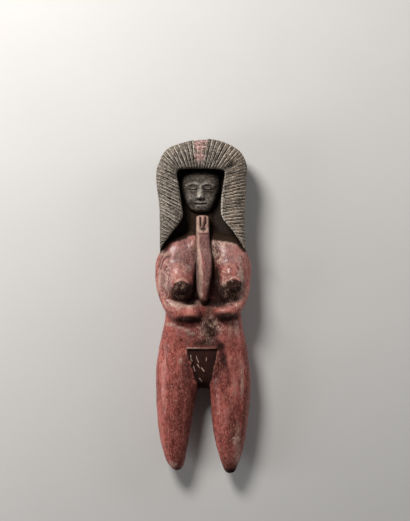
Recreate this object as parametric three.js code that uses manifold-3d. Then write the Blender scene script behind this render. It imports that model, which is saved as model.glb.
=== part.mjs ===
// A female figurine of fired clay, modelled by hand as one solid: a large combed head of hair
// with a shaved stripe, one hand raised to the chin, the other arm folded under the breast,
// and two tapering legs without feet. It cannot stand, so it lies on its back:
// +Z is its front, +Y runs from the tips of the legs to the crown, +X is the viewer's right.
import * as THREE from "three";
import { mergeVertices } from "three/addons/utils/BufferGeometryUtils.js";
import Module from "manifold-3d";

// The one driving size, in millimetres: from the tips of the legs to the crown.
const HEIGHT = 120;

// The figure is proportioned in hundredths of its height, its canon. In canon units x is 0 on
// its middle line, y is 0 at the tips of the legs and 100 at the crown, and z is 0 where it lies.
const CANON = HEIGHT / 100;

const wasm = await Module();
wasm.setup();

const { lerp } = THREE.MathUtils;

// A smooth curve through [place, value] stations in rising order, level beyond its ends.
function through(...stations) {
  const last = stations.length - 1;
  const slope = stations.map((_, i) => {
    const [before, after] = [stations[Math.max(i - 1, 0)], stations[Math.min(i + 1, last)]];
    return (after[1] - before[1]) / (after[0] - before[0]);
  });
  return (place) => {
    if (place <= stations[0][0]) return stations[0][1];
    if (place >= stations[last][0]) return stations[last][1];
    const i = stations.findIndex(([end]) => end > place) - 1;
    const [[p0, v0], [p1, v1]] = [stations[i], stations[i + 1]];
    const gap = p1 - p0;
    const t = (place - p0) / gap;
    const ease = t * t * (3 - 2 * t);
    const leave = t * (1 - t) * (1 - t) * slope[i] * gap;
    const arrive = t * t * (t - 1) * slope[i + 1] * gap;
    return lerp(v0, v1, ease) + leave + arrive;
  };
}

// A closed manifold solid from a three.js geometry.
function solid(geometry) {
  const bare = geometry.clone().deleteAttribute("normal").deleteAttribute("uv");
  const merged = mergeVertices(bare, 1e-5);
  return new wasm.Manifold(
    new wasm.Mesh({
      numProp: 3,
      vertProperties: merged.getAttribute("position").array,
      triVerts: new Uint32Array(merged.index.array),
    }),
  );
}

// A sphere whose grid is moved to place(row, column), a point in canon units. The rows run from
// pole to pole and the columns once about that line.
function skin(rows, columns, place) {
  const sphere = new THREE.SphereGeometry(1, columns, rows);
  const grid = sphere.getAttribute("position");
  for (let row = 0; row <= rows; row++) {
    for (let column = 0; column <= columns; column++) {
      const point = place(row, column % columns).multiplyScalar(CANON);
      grid.setXYZ(row * (columns + 1) + column, point.x, point.y, point.z);
    }
  }
  return solid(sphere);
}

// The rows of a mass with a round cap at each end: how far along it each row is, and how full
// the mass is there, from 0 at a pole to 1 where the cap ends.
const CAP_ROWS = 3;
function rowsBetween(length, firstCap, lastCap, rows) {
  const cap = (size) =>
    Array.from({ length: CAP_ROWS }, (_, i) => {
      const turn = (Math.PI / 2) * (i / CAP_ROWS);
      return { reach: size * (1 - Math.cos(turn)), full: Math.sin(turn) };
    });
  const body = Array.from({ length: rows + 1 }, (_, i) => ({
    reach: lerp(firstCap, length - lastCap, i / rows),
    full: 1,
  }));
  const lastRows = cap(lastCap).map(({ reach, full }) => ({ reach: length - reach, full }));
  return [...cap(firstCap), ...body, ...lastRows.reverse()];
}

// A unit oval: squareness 2 is an ellipse, and a larger number is boxier.
function oval(turn, squareness) {
  const bend = (v) => Math.sign(v) * Math.abs(v) ** (2 / squareness);
  return { side: -bend(Math.cos(turn)), front: bend(Math.sin(turn)) };
}

// An upright mass: at each height y it has a middle, a half width, and a front and back depth.
function upright({ top, bottom, caps, middle, half, front, back, squareness = 2.3, grid }) {
  const rows = rowsBetween(top - bottom, caps[0], caps[1], grid[0]);
  return skin(rows.length - 1, grid[1], (row, column) => {
    const { reach, full } = rows[row];
    const y = top - reach;
    const { side, front: ahead } = oval((2 * Math.PI * column) / grid[1], squareness);
    const depth = (front(y) - back(y)) / 2;
    return new THREE.Vector3(
      middle(y) + side * half(y) * full,
      y,
      back(y) + depth + ahead * depth * full,
    );
  });
}

// A limb: a round roll of clay along a path, with a radius at each share of its length.
function limb({ path, radius, grid }) {
  const line = new THREE.CatmullRomCurve3(path.map((p) => new THREE.Vector3(...p)));
  const length = line.getLength();
  const rows = rowsBetween(length, radius(0), radius(1), grid[0]);
  const ahead = new THREE.Vector3(0, 0, 1);
  return skin(rows.length - 1, grid[1], (row, column) => {
    const share = rows[row].reach / length;
    const girth = radius(share) * rows[row].full;
    const tangent = line.getTangentAt(share);
    const front = ahead.clone().addScaledVector(tangent, -ahead.dot(tangent)).normalize();
    const side = new THREE.Vector3().crossVectors(tangent, front);
    const turn = (2 * Math.PI * column) / grid[1];
    return line
      .getPointAt(share)
      .addScaledVector(side, girth * Math.cos(turn))
      .addScaledVector(front, girth * Math.sin(turn));
  });
}

// A pebble: an ellipsoid with its own centre and half sizes, turned in the frontal plane.
function pebble(centre, half, turned = 0, grid = [6, 12]) {
  const lean = THREE.MathUtils.degToRad(turned);
  return skin(...grid, (row, column) => {
    const rise = (Math.PI * row) / grid[0];
    const turn = (2 * Math.PI * column) / grid[1];
    return new THREE.Vector3(
      -half[0] * Math.sin(rise) * Math.cos(turn),
      half[1] * Math.cos(rise),
      half[2] * Math.sin(rise) * Math.sin(turn),
    )
      .applyAxisAngle(new THREE.Vector3(0, 0, 1), lean)
      .add(new THREE.Vector3(...centre));
  });
}

// A cutter: an outline in the frontal plane, cut from a floor out past the front. The floor is
// at depth `floor` at height `at`, and leans back by `lean` for each unit down from there.
function cutter(outline, { floor, at = 0, lean = 0 }) {
  const clear = 25;
  const shape = new THREE.Shape(outline.map(([x, y]) => new THREE.Vector2(x, y)));
  const block = new THREE.ExtrudeGeometry(shape, { depth: clear, bevelEnabled: false });
  block.applyMatrix4(new THREE.Matrix4().makeShear(0, 0, 0, lean, 0, 0));
  block.translate(0, 0, floor - lean * at);
  block.scale(CANON, CANON, CANON);
  return solid(block);
}

const level = (value) => () => value;

// The hair's lower edge across the shoulders, and the crown. Heights in the hair are shares of
// the way from the one to the other.
const HAIR_FOOT = 65.8;
const CROWN = 100;
const hairHeight = (share) => lerp(HAIR_FOOT, CROWN, share);

// The hair's inner edge and its silhouette, matched point to point from the viewer's right
// tip over the crown to the left tip. The combed grooves run from the one to the other.
const HAIR_EDGES = [
  { inner: [11.3, 0.088], outer: [12.7, 0.018], grooves: 5 },
  { inner: [9.0, 0.187], outer: [12.5, 0.175], grooves: 5 },
  { inner: [5.6, 0.316], outer: [12.5, 0.339], grooves: 5 },
  { inner: [5.3, 0.45], outer: [12.6, 0.48], grooves: 5 },
  { inner: [5.8, 0.579], outer: [12.9, 0.632], grooves: 5 },
  { inner: [6.4, 0.687], outer: [13.0, 0.766], grooves: 5 },
  { inner: [5.6, 0.722], outer: [10.9, 0.889], grooves: 4 },
  { inner: [2.4, 0.731], outer: [6.0, 0.971], grooves: 4 },
  { inner: [-0.5, 0.731], outer: [0.2, 1], grooves: 4 },
  { inner: [-3.4, 0.731], outer: [-5.6, 0.968], grooves: 4 },
  { inner: [-6.8, 0.722], outer: [-10.9, 0.904], grooves: 5 },
  { inner: [-7.7, 0.684], outer: [-13.4, 0.772], grooves: 5 },
  { inner: [-7.1, 0.573], outer: [-14.0, 0.637], grooves: 5 },
  { inner: [-6.5, 0.444], outer: [-13.6, 0.503], grooves: 5 },
  { inner: [-6.1, 0.316], outer: [-13.0, 0.374], grooves: 5 },
  { inner: [-8.9, 0.196], outer: [-12.9, 0.216], grooves: 5 },
  { inner: [-11.4, 0.094], outer: [-12.8, 0.023], grooves: 0 },
].map(({ inner, outer, grooves }) => ({
  inner: [inner[0], hairHeight(inner[1])],
  outer: [outer[0], hairHeight(outer[1])],
  grooves,
}));
const HAIR_MIDDLE = [-0.5, hairHeight(0.488)];
const HAIR_FOOT_STEPS = 8;
const HAIR_FOOT_FULLNESS = 0.65; // how square the back of that edge is, from 0 to 1
const HAIR_RIM = 9; // the depth at which the hair is widest
const GROOVE_DEPTH = 0.3;
const NECK_BACK = 7.6; // how deep the opening for the face and neck is cut

// The front of the hair: how far across the locks, from 0 at the inner edge to 1 at the
// silhouette, its depth there, and its share of the grooves' depth. It starts inside the
// opening that is cut for the face, by this share of the way to the middle.
const HAIR_INSET = 0.06;
const HAIR_FRONT = [
  { across: 0, z: 13.8, carved: 1 },
  { across: 0.3, z: 14.6, carved: 1 },
  { across: 0.63, z: 14.3, carved: 1 },
  { across: 0.87, z: 12.5, carved: 0.9 },
  { across: 1.0, z: HAIR_RIM, carved: 0.5 },
];
// Its back: how far out from the middle, from 1 at the silhouette, and the same two values.
const HAIR_BACK = [
  { across: 0.98, z: 5.2, carved: 0.5 },
  { across: 0.88, z: 2.1, carved: 0.3 },
  { across: 0.62, z: 0.5, carved: 0 },
  { across: 0.2, z: -0.3, carved: 0 },
];

// The shaved stripe down from the crown: a wedge pressed into the locks.
const STRIPE = { middle: -0.8, halfAtCrown: 2.4, halfAtFoot: 1.1, foot: 93.4, depth: 0.5 };

// Every lock's inner and outer end, ridge and groove in turn, then the plain foot of the hair.
function hairColumns() {
  const edge = (name) =>
    new THREE.CatmullRomCurve3(HAIR_EDGES.map((pair) => new THREE.Vector3(...pair[name], 0)));
  const [inner, outer] = [edge("inner"), edge("outer")];
  const spans = HAIR_EDGES.length - 1;
  const columns = [];
  for (let span = 0; span < spans; span++) {
    const steps = 2 * HAIR_EDGES[span].grooves;
    for (let step = 0; step < steps; step++) {
      const share = (span + step / steps) / spans;
      columns.push({
        inner: inner.getPoint(share),
        outer: outer.getPoint(share),
        groove: step % 2,
        fullness: 0,
      });
    }
  }
  const [right, left] = [HAIR_EDGES[0], HAIR_EDGES[spans]];
  for (let step = 0; step < HAIR_FOOT_STEPS; step++) {
    const share = step / HAIR_FOOT_STEPS;
    const along = (name) => lerp(left[name][0], right[name][0], share);
    columns.push({
      inner: new THREE.Vector3(along("inner"), left.inner[1], 0),
      outer: new THREE.Vector3(along("outer"), step ? HAIR_FOOT : left.outer[1], 0),
      groove: 0,
      fullness: HAIR_FOOT_FULLNESS * Math.sin(Math.PI * share),
    });
  }
  return columns;
}

// How much of the shaved stripe's depth a point of the hair takes.
function stripeShare({ x, y }) {
  const { smoothstep } = THREE.MathUtils;
  const half = lerp(STRIPE.halfAtFoot, STRIPE.halfAtCrown, (y - STRIPE.foot) / (CROWN - STRIPE.foot));
  const beside = smoothstep(Math.abs(x - STRIPE.middle), half - 0.3, half + 0.3);
  return smoothstep(y, STRIPE.foot - 0.5, STRIPE.foot + 0.5) * (1 - beside);
}

// The mass of hair, combed in grooves that fan out from the face.
function hair() {
  const columns = hairColumns();
  const middle = new THREE.Vector3(...HAIR_MIDDLE, 0);
  const section = [...HAIR_FRONT, ...HAIR_BACK];
  const poles = [HAIR_FRONT[0].z, HAIR_BACK.at(-1).z - 0.1];
  const rows = section.length + 1;
  return skin(rows, columns.length, (row, column) => {
    if (row === 0 || row === rows) return middle.clone().setZ(poles[row / rows]);
    const { across, z, carved } = section[row - 1];
    const { inner, outer, groove, fullness } = columns[column];
    const start = inner.clone().lerp(middle, HAIR_INSET);
    const point =
      row <= HAIR_FRONT.length
        ? start.lerp(outer, across)
        : middle.clone().lerp(outer, across ** (1 - fullness));
    const sunk = groove * carved * GROOVE_DEPTH + stripeShare(point) * STRIPE.depth;
    const outward = outer.clone().sub(middle).normalize();
    const facing = THREE.MathUtils.smoothstep(z, HAIR_RIM - 1, HAIR_FRONT[1].z);
    return point.addScaledVector(outward, -sunk * (1 - facing)).setZ(z - sunk * facing);
  });
}

// The opening of the hair: the face's window, flaring below the chin to the shoulders.
function hairOpening() {
  const edge = new THREE.CatmullRomCurve3(
    HAIR_EDGES.map(({ inner }) => new THREE.Vector3(...inner, 0)),
  );
  const outline = edge.getPoints(40).map((point) => [point.x, point.y]);
  const shoulder = [
    [outline.at(-1)[0], HAIR_FOOT - 1],
    [outline[0][0], HAIR_FOOT - 1],
  ];
  return cutter([...outline, ...shoulder], { floor: NECK_BACK });
}

// The face keeps to the draughtsman's canon: brow, foot of the nose and chin stand a third of
// the face apart, and it is five eyes wide.
const FACE = { middle: -0.8, chin: 77.9, top: 91.5, halfWidth: 5.7, front: 11.2, third: 4.2 };
const BROW = FACE.chin + 2 * FACE.third;
const NOSE_FOOT = FACE.chin + FACE.third;
const EYE = (2 * FACE.halfWidth) / 5;
const SLIT_GRID = [4, 8];

// One brow, a low arch from the bridge of the nose.
function brow(side) {
  const at = (out, up, ahead) => [FACE.middle + side * out, BROW + up, FACE.front + ahead];
  return limb({
    path: [at(0.4, -0.5, -0.1), at(EYE * 0.9, 0.25, 0), at(EYE * 1.9, -0.45, -0.5)],
    radius: through([0, 0.65], [1, 0.5]),
    grid: [5, 8],
  });
}

// One closed eye, a low almond with a slit.
function eye(side) {
  const at = [FACE.middle + side * EYE, BROW - FACE.third * 0.33];
  const lids = pebble([...at, FACE.front - 0.3], [EYE * 0.5, 0.72, 0.75]);
  const slit = pebble([...at, FACE.front + 0.4], [EYE * 0.42, 0.2, 0.4], 0, SLIT_GRID);
  return { lids, slit };
}

// The face, set deep in the hair: a plain shield with brows and nose in one raised T.
function face() {
  const shield = upright({
    top: FACE.top,
    bottom: FACE.chin,
    caps: [1, 1.4],
    middle: level(FACE.middle),
    half: through([79, 3.3], [81, 4.4], [83, 5.1], [86, 5.5], [89, FACE.halfWidth]),
    front: through([78, 10.4], [81, 11], [86, FACE.front], [91, 10.6]),
    back: level(5.5),
    squareness: 2.8,
    grid: [6, 18],
  });
  const nose = limb({
    path: [
      [FACE.middle, BROW - 0.3, FACE.front],
      [FACE.middle, BROW - FACE.third / 2, FACE.front + 0.15],
      [FACE.middle, NOSE_FOOT - 0.3, FACE.front + 0.35],
    ],
    radius: through([0, 0.6], [0.5, 0.65], [1, EYE / 2]),
    grid: [4, 8],
  });
  const mouth = [FACE.middle, NOSE_FOOT - FACE.third / 2.6];
  const lips = pebble([...mouth, FACE.front - 0.45], [EYE * 0.75, 0.85, 0.85]);
  const parting = pebble([...mouth, FACE.front + 0.45], [EYE * 0.62, 0.2, 0.5], 0, SLIT_GRID);
  const eyes = [eye(-1), eye(1)];
  return wasm.Manifold.union([shield, brow(-1), brow(1), nose, lips, ...eyes.map((e) => e.lids)])
    .subtract(wasm.Manifold.union([parting, ...eyes.map((e) => e.slit)]));
}

// The neck behind the chin.
function neck() {
  return upright({
    top: 84,
    bottom: 64,
    caps: [2, 2],
    middle: level(-0.4),
    half: through([66, 8], [71, 5.6], [76, 4.4], [84, 4.4]),
    front: through([66, 9.8], [71, 9.2], [76, 8.6], [84, 8.4]),
    back: level(3),
    grid: [4, 14],
  });
}

// The trunk from the shoulders to the crotch: a full chest, a narrow waist and a low belly.
function trunk() {
  return upright({
    top: 72.8,
    bottom: 25.6,
    caps: [3.4, 3],
    middle: level(0),
    half: through([28, 6.5], [31, 10.5], [34, 13.2], [37, 13.3], [40, 12.7], [44, 11.8], [47.5, 11.3],
      [55, 11.2], [66, 12.2], [69, 11.8], [72, 11]),
    front: through([26, 9], [30, 11.2], [34, 12.1], [38, 12.4], [41, 12.2], [44, 11.5],
      [48, 10.6], [54, 10.6], [60, 11.2], [66, 11], [70, 10]),
    back: through([28, 2.8], [34, 1.9], [38, 1.7], [43, 2.3], [49, 2.8], [56, 2.2], [62, 1.6],
      [70, 1.7]),
    squareness: 2.7,
    grid: [16, 24],
  });
}

// One leg, from inside the hips down to its blunt tip, between its outer and inner edges.
function leg({ tip, outer, inner }) {
  return upright({
    top: 47,
    bottom: tip,
    caps: [4, 2.2],
    middle: (y) => (outer(y) + inner(y)) / 2,
    half: (y) => Math.abs(outer(y) - inner(y)) / 2,
    front: through([2, 8], [6, 9.3], [12, 10.6], [20, 11.7], [30, 12.2], [36, 12], [41, 11], [47, 8.6]),
    back: through([2, 3.9], [6, 2.7], [12, 1.8], [20, 1.3], [30, 1.2], [36, 1.8], [41, 2.9], [47, 4.6]),
    squareness: 2.15,
    grid: [11, 18],
  });
}

const LEFT_LEG = {
  tip: 0.8,
  outer: through([2, -9.9], [4, -11.2], [8, -12.3], [12, -13.2], [19, -13.9], [26, -14.1],
    [31, -14.1], [36, -13.5], [40, -12.5], [47, -11]),
  inner: through([2, -5.9], [4, -5.4], [8, -4.6], [12, -3.8], [19, -2.7], [24, -2], [28, -1.2], [47, -1]),
};
const RIGHT_LEG = {
  tip: 0,
  outer: through([2, 10.1], [4, 11], [8, 12.1], [12, 12.9], [19, 13.7], [24, 14.2], [29, 14.3],
    [33, 13.8], [36, 13.3], [40, 12.4], [47, 11]),
  inner: through([2, 5.9], [4, 5.1], [8, 4], [12, 3.1], [16, 2.6], [24, 2], [28, 1.4], [47, 1]),
};

// The buttocks, parted by a cleft, on which the figure lies.
function buttocks() {
  return wasm.Manifold.union(
    [-1, 1].map((side) => pebble([side * 6.3, 33.5, 5.6], [6.7, 8.4, 6], side * 8, [8, 14])),
  );
}

// The arm on the viewer's left: down the side, then in under the breast to the raised forearm.
function leftArm() {
  return limb({
    path: [
      [-10.3, 67.6, 6.2],
      [-11.8, 63, 7],
      [-11.7, 58.5, 8],
      [-10.7, 54.2, 9.6],
      [-8.6, 50.7, 11],
      [-5.3, 48.9, 11.8],
      [-1.3, 49.8, 12.3],
    ],
    radius: through([0, 2], [0.2, 2.4], [0.6, 2.45], [0.85, 2.8], [1, 2.1]),
    grid: [11, 12],
  });
}

// The arm on the viewer's right, folded under the other breast with a blunt hand.
function rightArm() {
  return limb({
    path: [
      [10.3, 67.6, 6.2],
      [11.9, 62.5, 7],
      [11.6, 57.5, 8.2],
      [11.1, 53.6, 9.8],
      [9.4, 50.2, 11.2],
      [6.8, 48.4, 11.9],
      [3.4, 49.2, 12.1],
    ],
    radius: through([0, 2], [0.2, 2.4], [0.6, 2.35], [0.85, 2.45], [1, 1.9]),
    grid: [11, 12],
  });
}

// The raised forearm: a ridge with steep sides from the waist to the hand under the chin.
const HAND = { tip: 77.2, wrist: 72.5, middle: -0.15, halfWidth: 1.95, front: 12.9 };
const FINGERS = 4;
function raisedForearm() {
  const ridge = upright({
    top: HAND.tip,
    bottom: 50.4,
    caps: [1, 1.5],
    middle: through([51, 0.4], [54.5, 0.6], [59.5, 0.75], [63.6, 0.2], [HAND.wrist, HAND.middle]),
    half: through([51, 1], [54.5, 1.4], [59.5, 2.1], [63.6, 2.65], [69, 2.1], [HAND.wrist, HAND.halfWidth]),
    front: through([51, 13], [54, 13.8], [58, 14.2], [63, 14.2], [68, 13.4], [HAND.wrist, HAND.front]),
    back: level(7),
    squareness: 3.4,
    grid: [9, 14],
  });
  const gaps = Array.from({ length: FINGERS - 1 }, (_, i) => {
    const x = HAND.middle + HAND.halfWidth * ((2 * (i + 1)) / FINGERS - 1);
    return pebble([x, HAND.tip - 1.4, HAND.front], [0.22, 2.3, 0.6], 0, [6, 6]);
  });
  const palm = pebble([HAND.middle, HAND.wrist + 0.7, HAND.front], [1.1, 0.5, 0.6]);
  return ridge.subtract(wasm.Manifold.union([...gaps, palm]));
}

// One side of the full chest, and the breast that swells out of it, with a button of a nipple.
const BREAST = { height: 57.7, depth: 10.1, halfHeight: 7.1, halfDepth: 6.1 };
const NIPPLE = { height: 56.6, radius: 2, proud: 1 };
function breast({ middle, halfWidth, nippleShift, lift = 0 }) {
  const chest = upright({
    top: 71.4 + lift,
    bottom: 53 + lift,
    caps: [3.4, 3],
    middle: through([60, middle], [70, 0.92 * middle]),
    half: through([54, 0.95 * halfWidth], [60, 1.1 * halfWidth], [66, 1.08 * halfWidth],
      [70, 0.95 * halfWidth]),
    front: through([54, 12], [60, 12.9], [65, 12.5], [70, 11.2]),
    back: level(4),
    squareness: 2.5,
    grid: [3, 14],
  });
  const centre = [middle, BREAST.height + lift, BREAST.depth];
  const mound = pebble(centre, [halfWidth, BREAST.halfHeight, BREAST.halfDepth], 0, [8, 16]);
  const nippleUp = (NIPPLE.height - BREAST.height) / BREAST.halfHeight;
  const nippleOut = nippleShift / halfWidth;
  const seat = BREAST.halfDepth * Math.sqrt(Math.max(0, 1 - nippleUp ** 2 - nippleOut ** 2));
  const nipple = pebble(
    [middle + nippleShift, NIPPLE.height + lift, BREAST.depth + seat - 0.3],
    [NIPPLE.radius, NIPPLE.radius, NIPPLE.proud + 0.3],
    0,
    [6, 12],
  );
  return wasm.Manifold.union([chest, mound, nipple]);
}

// The triangle below the belly, cut back a little with a crisp upper edge.
const PANEL = { middle: -0.1, top: 37.6, bottom: 26.4, halfAtTop: 4.7, halfAtBottom: 1.7 };
function panelCutter() {
  const corner = (half, y) => [PANEL.middle + half, y];
  return cutter(
    [
      corner(-PANEL.halfAtBottom, PANEL.bottom),
      corner(PANEL.halfAtBottom, PANEL.bottom),
      corner(PANEL.halfAtTop, PANEL.top),
      corner(-PANEL.halfAtTop, PANEL.top),
    ],
    { floor: 11.1, at: PANEL.top, lean: 0.2 },
  );
}

// Everything under the plane that the figure lies on.
function groundCutter() {
  const side = 2 * HEIGHT;
  const ground = new THREE.BoxGeometry(side, side, side);
  ground.translate(0, 0, -side / 2);
  return solid(ground);
}

// The whole figure as one solid, with the middle of its length and width over the origin.
function figurine() {
  const hips = wasm.Manifold.union([trunk(), leg(LEFT_LEG), leg(RIGHT_LEG), buttocks()]);
  const body = wasm.Manifold.union([
    hair().subtract(hairOpening()),
    hips.subtract(panelCutter()),
    neck(),
    face(),
    leftArm(),
    rightArm(),
    breast({ middle: -7.3, halfWidth: 5, nippleShift: 1 }),
    breast({ middle: 8.2, halfWidth: 4.6, nippleShift: 0.7, lift: 0.2 }),
    raisedForearm(),
  ]).subtract(groundCutter());
  const { vertProperties, triVerts } = body.getMesh();
  const geometry = new THREE.BufferGeometry();
  geometry.setAttribute("position", new THREE.BufferAttribute(vertProperties, 3));
  geometry.setIndex(new THREE.BufferAttribute(triVerts, 1));
  geometry.computeBoundingBox();
  const middle = geometry.boundingBox.getCenter(new THREE.Vector3());
  geometry.translate(-middle.x, -middle.y, 0);
  geometry.computeVertexNormals();
  const clay = new THREE.MeshStandardMaterial({ color: 0x93453c, roughness: 0.6, metalness: 0 });
  const mesh = new THREE.Mesh(geometry, clay);
  mesh.name = "figurine";
  return mesh;
}

const group = new THREE.Group();
group.add(figurine());
export default group;
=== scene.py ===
"""The looks of a small clay figurine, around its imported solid.

Its masses are modelled again as smooth shells of clay, pressed into one body, then combed,
carved and worn. Red slip covers the body, and the hair and face are bare clay.
It lies on its back on a pale floor under a soft light, and the camera looks straight down.
"""

import math

import bpy
import numpy as np
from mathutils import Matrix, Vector, bvhtree, noise


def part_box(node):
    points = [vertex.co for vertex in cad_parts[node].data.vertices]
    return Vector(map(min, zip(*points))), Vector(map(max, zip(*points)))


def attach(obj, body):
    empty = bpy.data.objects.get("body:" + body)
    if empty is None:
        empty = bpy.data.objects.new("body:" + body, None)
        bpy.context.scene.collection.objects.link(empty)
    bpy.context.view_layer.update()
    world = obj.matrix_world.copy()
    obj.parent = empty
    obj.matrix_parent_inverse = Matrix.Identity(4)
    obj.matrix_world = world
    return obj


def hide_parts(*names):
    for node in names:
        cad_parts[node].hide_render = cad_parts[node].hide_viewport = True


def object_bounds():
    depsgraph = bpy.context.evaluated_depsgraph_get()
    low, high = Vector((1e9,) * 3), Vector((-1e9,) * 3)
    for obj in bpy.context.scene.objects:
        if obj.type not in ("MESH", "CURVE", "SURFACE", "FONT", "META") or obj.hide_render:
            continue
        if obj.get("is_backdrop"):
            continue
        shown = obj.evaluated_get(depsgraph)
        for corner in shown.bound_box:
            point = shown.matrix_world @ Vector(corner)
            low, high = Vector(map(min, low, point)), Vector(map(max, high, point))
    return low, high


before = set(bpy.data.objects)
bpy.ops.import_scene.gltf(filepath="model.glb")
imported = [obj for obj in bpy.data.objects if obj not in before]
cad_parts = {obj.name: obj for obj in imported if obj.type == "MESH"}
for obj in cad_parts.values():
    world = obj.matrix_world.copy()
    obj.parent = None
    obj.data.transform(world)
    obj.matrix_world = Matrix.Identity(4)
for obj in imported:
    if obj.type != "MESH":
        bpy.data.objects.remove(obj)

CAD_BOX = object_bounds()

# The figure is proportioned in hundredths of its height, its canon, as the solid is. In canon
# units x is 0 on its middle line, y is 0 at the tips of the legs, and z is 0 where it lies.
LOW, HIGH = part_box("figurine")
TALLEST_LOCK = 99.8
CANON = (HIGH.y - LOW.y) / TALLEST_LOCK
TIPS = np.array([0, LOW.y, 0])


def metres(canon):
    """Points in canon units, as points of the frame."""
    return np.asarray(canon) * CANON + TIPS


def read_points(piece):
    """The piece's vertices, in canon units."""
    spots = np.empty(3 * len(piece.data.vertices))
    piece.data.vertices.foreach_get("co", spots)
    return (spots.reshape(-1, 3) - TIPS) / CANON


def read_normals(piece):
    """The direction that each vertex faces."""
    facing = np.empty(3 * len(piece.data.vertices))
    piece.data.vertex_normals.foreach_get("vector", facing)
    return facing.reshape(-1, 3)


def write_points(piece, canon):
    """Moves the piece's vertices to points in canon units."""
    piece.data.vertices.foreach_set("co", metres(canon).ravel())
    piece.data.update()


def paint(piece, **layers):
    """Stores values for the vertices, one each or one for all, under names that materials read."""
    for name, values in layers.items():
        layer = piece.data.attributes.new(name, "FLOAT", "POINT")
        layer.data.foreach_set("value", np.full(len(layer.data), values, np.float32))


def smoothstep(value, start, end):
    """0 before start, 1 after end, and a soft rise between them."""
    t = np.clip((value - start) / (end - start), 0, 1)
    return t * t * (3 - 2 * t)


def through(*stations):
    """A smooth curve through (place, value) stations, level beyond its ends."""
    places, values = np.array(stations, float).T
    last = len(places) - 1
    after = np.minimum(np.arange(last + 1) + 1, last)
    before = np.maximum(np.arange(last + 1) - 1, 0)
    slopes = (values[after] - values[before]) / (places[after] - places[before])

    def value(at):
        at = np.clip(at, places[0], places[-1])
        i = np.clip(np.searchsorted(places, at, side="right") - 1, 0, last - 1)
        gap = places[i + 1] - places[i]
        t = (at - places[i]) / gap
        ease = t * t * (3 - 2 * t)
        bend = t * (1 - t) ** 2 * slopes[i] + t * t * (t - 1) * slopes[i + 1]
        return values[i] + (values[i + 1] - values[i]) * ease + bend * gap

    return value


def level(value):
    """A curve that has one value all along."""
    return lambda at: np.full(np.shape(at), float(value))


def line_through(points, count):
    """Points at even steps along a smooth line through the given ones, and its length."""
    points = np.array(points, float)
    knots = np.arange(len(points))
    fine = np.linspace(0, knots[-1], 24 * len(points))
    axes = [through(*zip(knots, values))(fine) for values in points.T]
    steps = np.r_[0, np.cumsum(np.linalg.norm(np.diff(axes, axis=1), axis=0))]
    even = np.linspace(0, steps[-1], count)
    return np.stack([np.interp(even, steps, axis) for axis in axes], 1), steps[-1]


def wander(points, size, seed):
    """Soft noise from -1 to 1 at each point, with lumps of this size in canon units."""
    shift = Vector((seed * 17.3, seed * 5.1, seed * 9.7))
    return np.array([noise.noise(Vector(p) / size + shift) for p in points])


def activate(piece):
    """Makes one piece the only one selected."""
    bpy.ops.object.select_all(action="DESELECT")
    piece.select_set(True)
    bpy.context.view_layer.objects.active = piece


def outward(piece):
    """Turns all faces of a closed shell outwards."""
    activate(piece)
    bpy.ops.object.mode_set(mode="EDIT")
    bpy.ops.mesh.select_all(action="SELECT")
    bpy.ops.mesh.normals_make_consistent(inside=False)
    bpy.ops.object.mode_set(mode="OBJECT")


def shell(name, rings, segments, place):
    """A ball of clay whose every ring and segment is moved to place(ring, turn)."""
    bpy.ops.object.select_all(action="DESELECT")
    bpy.ops.mesh.primitive_uv_sphere_add(segments=segments, ring_count=rings)
    piece = bpy.context.object
    piece.name = name
    ball = np.empty(3 * len(piece.data.vertices))
    piece.data.vertices.foreach_get("co", ball)
    ball = ball.reshape(-1, 3)
    ring = np.rint(np.arccos(np.clip(ball[:, 2], -1, 1)) / math.pi * rings).astype(int)
    turn = np.arctan2(ball[:, 1], ball[:, 0])
    write_points(piece, place(ring, turn))
    outward(piece)
    return piece


CAP_RINGS = 7


def spaced(length, first_cap, last_cap, rings):
    """How far along a mass each ring is, and how full the mass is there."""
    turn = np.linspace(0, math.pi / 2, CAP_RINGS + 1)[:-1]
    sunk = 1 - np.cos(turn)
    middle = np.linspace(first_cap, length - last_cap, rings - 2 * CAP_RINGS + 1)
    reach = np.r_[first_cap * sunk, middle, length - (last_cap * sunk)[::-1]]
    full = np.r_[np.sin(turn), np.ones_like(middle), np.sin(turn)[::-1]]
    return reach, full


def oval(turn, squareness):
    """A unit oval: squareness 2 is an ellipse, and a larger number is boxier."""
    bend = lambda v: np.sign(v) * np.abs(v) ** (2 / squareness)
    return bend(np.cos(turn)), bend(-np.sin(turn))


def upright(name, top, bottom, caps, middle, half, front, back, squareness=2.3, grid=(40, 48),
            front_loaded=0):
    """A mass with a middle, half width, front and back depth at each height."""
    reach, full = spaced(top - bottom, *caps, grid[0])

    def place(ring, turn):
        turn = turn - front_loaded * np.cos(turn)
        y = top - reach[ring]
        side, ahead = oval(turn, squareness)
        depth = (front(y) - back(y)) / 2
        across = middle(y) + side * half(y) * full[ring]
        return np.stack([across, y, back(y) + depth + ahead * depth * full[ring]], 1)

    return shell(name, *grid, place)


def limb(name, path, radius, grid=(40, 24)):
    """A round roll of clay along a path, with a radius at each share of its length."""
    line, length = line_through(path, 200)
    reach, full = spaced(length, radius(0), radius(1), grid[0])
    tangents = np.gradient(line, axis=0)
    tangents /= np.linalg.norm(tangents, axis=1, keepdims=True)

    def place(ring, turn):
        share = reach[ring] / length
        step = share * (len(line) - 1)
        spot = np.stack([np.interp(step, np.arange(len(line)), axis) for axis in line.T], 1)
        tangent = tangents[np.rint(step).astype(int)]
        front = np.array([0, 0, 1]) - tangent[:, 2:] * tangent
        front /= np.linalg.norm(front, axis=1, keepdims=True)
        side = np.cross(tangent, front)
        girth = (radius(share) * full[ring])[:, None]
        return spot + girth * (side * np.cos(turn)[:, None] + front * np.sin(turn)[:, None])

    return shell(name, *grid, place)


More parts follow.
